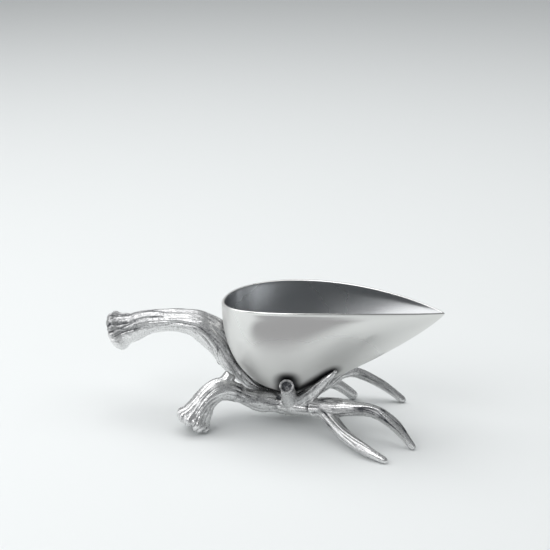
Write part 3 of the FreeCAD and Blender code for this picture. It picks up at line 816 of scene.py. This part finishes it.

# %% [markdown]
# ## Painted shade beside the antlers
# The mirror is painted dark in the narrow gap beside the antlers: painted shade and a painted
# dark reflection where the castings meet the bowl. For every point of the bowl we measure how far
# the nearest casting is and store that as masks. The wide cloudy mask also reaches well past the
# gap: it is there for the look, because a clean mirror shows each antler twice and the eye loses
# the real one.

# %% Mask the cloudy part and the painted shade, and add them to the mirror
cast_trees = [tree_of(piece.data) for piece in (handle_antler, base_antler)]
gaps = np.array([min(tree.find_nearest(v.co)[3] for tree in cast_trees)
                 for v in bowl.data.vertices])
set_mask(bowl.data, "cloudy", 1 - ease(gaps, 12 * MM, 55 * MM))
# The gap mask says where shade is painted on the mirror.
set_mask(bowl.data, "gap", (1 - ease(gaps, 1 * MM, 9 * MM)) ** 1.1)
tree = mirror.node_tree
cloudy = add(tree, "ShaderNodeAttribute", attribute_name="cloudy")
shader = tree.nodes["Principled BSDF"]
plain_rough = shader.inputs["Roughness"].links[0].from_socket
both = add(tree, "ShaderNodeMath", operation="ADD")
tree.links.new(plain_rough, both.inputs[0])
tree.links.new(blend_range(tree, cloudy.outputs["Fac"], 0.0, 0.38), both.inputs[1])
tree.links.new(both.outputs[0], shader.inputs["Roughness"])
# Painted shade: the mirror's colour turns near black in the gap beside the castings, in place of
# their shade and dark reflection.
painted_contact_shade = add(tree, "ShaderNodeAttribute", attribute_name="gap")
darker = add(tree, "ShaderNodeMix", data_type="RGBA")
tree.links.new(painted_contact_shade.outputs["Fac"], darker.inputs["Factor"])
darker.inputs[6].default_value = shader.inputs["Base Color"].default_value
darker.inputs[7].default_value = (0.03, 0.03, 0.033, 1)
tree.links.new(darker.outputs[2], shader.inputs["Base Color"])
print("cloudy points:", int((gaps < 20 * MM).sum()))

# %% Put the finishes on
for piece in (handle_antler, base_antler):
    piece.data.materials.append(cast)
bowl.data.materials.append(mirror)
bowl.data.materials.append(satin)
count = len(all_rows[0])
for face in bowl.data.polygons:
    row = min(face.vertices) // count
    face.material_index = 1 if row >= first_inner + 2 else 0
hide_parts("bowl")
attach(bowl, "root")
for name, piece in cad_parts.items():
    if name not in ("bowl", "handle_antler", "base_antler"):
        finish = solder if name == "tine_solder" else steel
        piece.data.materials.clear()
        piece.data.materials.append(finish)

# %% [markdown]
# ## The studio
# Polished metal has no colour of its own: it shows the room. So the room is kept plain, a pale
# floor under a bright soft sky, and one grey card lies in front of the bowl where only its
# reflection sees it. That soft grey patch is what tells the eye the bowl is a mirror.

# %% Floor, sky and lights
def stage_plane(name, size, centre, material):
    """A flat sheet that is part of the studio, not of the object."""
    half_x, half_y = size[0] / 2, size[1] / 2
    mesh = bpy.data.meshes.new(name)
    corners = [(centre[0] + sx * half_x, centre[1] + sy * half_y, centre[2])
               for sx, sy in ((-1, -1), (1, -1), (1, 1), (-1, 1))]
    mesh.from_pydata(corners, [], [(0, 1, 2, 3)])
    mesh.materials.append(material)
    sheet = bpy.data.objects.new(name, mesh)
    bpy.context.scene.collection.objects.link(sheet)
    sheet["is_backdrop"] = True
    return sheet


pale = bpy.data.materials.new("pale_floor")
pale.use_nodes = True
pale.node_tree.nodes["Principled BSDF"].inputs["Base Color"].default_value = (0.79, 0.81, 0.81, 1)
pale.node_tree.nodes["Principled BSDF"].inputs["Roughness"].default_value = 0.7
stage_plane("floor", (8, 8), (0, 0, -0.0002), pale)

world = bpy.data.worlds.new("soft_sky")
bpy.context.scene.world = world
world.use_nodes = True
world.node_tree.nodes["Background"].inputs["Color"].default_value = (0.95, 0.98, 1.0, 1)
world.node_tree.nodes["Background"].inputs["Strength"].default_value = 0.28


def soft_light(name, place, size, power, aim=(0.0, 0.0, 0.05), mirrored=True):
    """A square studio light that looks at the object."""
    lamp = bpy.data.lights.new(name, "AREA")
    lamp.shape = "SQUARE"
    lamp.size = size
    lamp.energy = power
    light = bpy.data.objects.new(name, lamp)
    light.location = place
    light.rotation_euler = (Vector(aim) - Vector(place)).to_track_quat("-Z", "Y").to_euler()
    light.visible_glossy = mirrored
    bpy.context.scene.collection.objects.link(light)
    return light


soft_light("key", (-0.75, 0.55, 1.5), 1.5, 15, aim=(0.0, 0.2, 0.0))
soft_light("left_panel", (-1.3, -0.35, 0.55), 0.9, 3.5)
soft_light("front_panel", (-0.55, -0.9, 1.05), 0.8, 5.5)
soft_light("floor_fill", (0.8, 0.35, 1.8), 2.2, 19, aim=(0.45, 0.3, 0.0), mirrored=False)

# %% The card that the bowl mirrors
card_look = bpy.data.materials.new("card")
card_look.use_nodes = True
tree = card_look.node_tree
tree.nodes.clear()
out = add(tree, "ShaderNodeOutputMaterial")
grey = add(tree, "ShaderNodeEmission")
grey.inputs["Color"].default_value = (0.43, 0.43, 0.44, 1)
clear_part = add(tree, "ShaderNodeBsdfTransparent")
mix = add(tree, "ShaderNodeMixShader")
place = add(tree, "ShaderNodeTexCoord")
ball = add(tree, "ShaderNodeTexGradient", gradient_type="SPHERICAL")
centre_it = add(tree, "ShaderNodeMapping")
CARD_MIDDLE, CARD_SIZE = (-0.005, -0.235), (0.42, 0.33)
centre_it.inputs["Location"].default_value = (-CARD_MIDDLE[0] / (CARD_SIZE[0] / 2),
                                              -CARD_MIDDLE[1] / (CARD_SIZE[1] / 2), 0)
centre_it.inputs["Scale"].default_value = (2 / CARD_SIZE[0], 2 / CARD_SIZE[1], 0)
tree.links.new(place.outputs["Object"], centre_it.inputs["Vector"])
tree.links.new(centre_it.outputs["Vector"], ball.inputs["Vector"])
tree.links.new(blend_range(tree, ball.outputs["Fac"], 0.0, 1.0, 0.05, 0.3), mix.inputs["Fac"])
tree.links.new(clear_part.outputs[0], mix.inputs[1])
tree.links.new(grey.outputs[0], mix.inputs[2])
tree.links.new(mix.outputs[0], out.inputs["Surface"])
card = stage_plane("grey_card", CARD_SIZE, (*CARD_MIDDLE, 0.001), card_look)
card.visible_camera = False
card.visible_diffuse = False
card.visible_shadow = False

# %% [markdown]
# ## The camera
# A long lens from well back keeps the handle and the spout in proportion. It stands a little to
# the right of the bowl and looks down a third of the way, so the open bowl and both antlers show.

# %% Set up the camera
camera_data = bpy.data.cameras.new("camera")
LENS, SENSOR = 110.5, 36.0
camera_data.lens = LENS
camera_data.sensor_width = SENSOR
camera = bpy.data.objects.new("camera", camera_data)
bpy.context.scene.collection.objects.link(camera)
AROUND, ABOVE, AWAY = math.radians(10), math.radians(21), 1.3
heart = Vector((LOWEST + 29 * MM, MIDDLE, 60 * MM))
level = math.cos(ABOVE)
back_off = Vector((math.sin(AROUND) * level, -math.cos(AROUND) * level, math.sin(ABOVE)))
camera.location = heart + back_off * AWAY
look_at = heart + Vector((-44 * MM, 0, 57 * MM))
camera.rotation_euler = (look_at - camera.location).to_track_quat("-Z", "Y").to_euler()
bpy.context.scene.camera = camera
bpy.context.scene.view_settings.view_transform = "Standard"

# %% Compare the sizes and finish
visual_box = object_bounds()
grown = [(b - a) / MM for cad, seen in zip(cad_box, visual_box) for a, b in zip(cad, seen)]
print("grown by, in mm:", [round(v, 2) for v in grown])
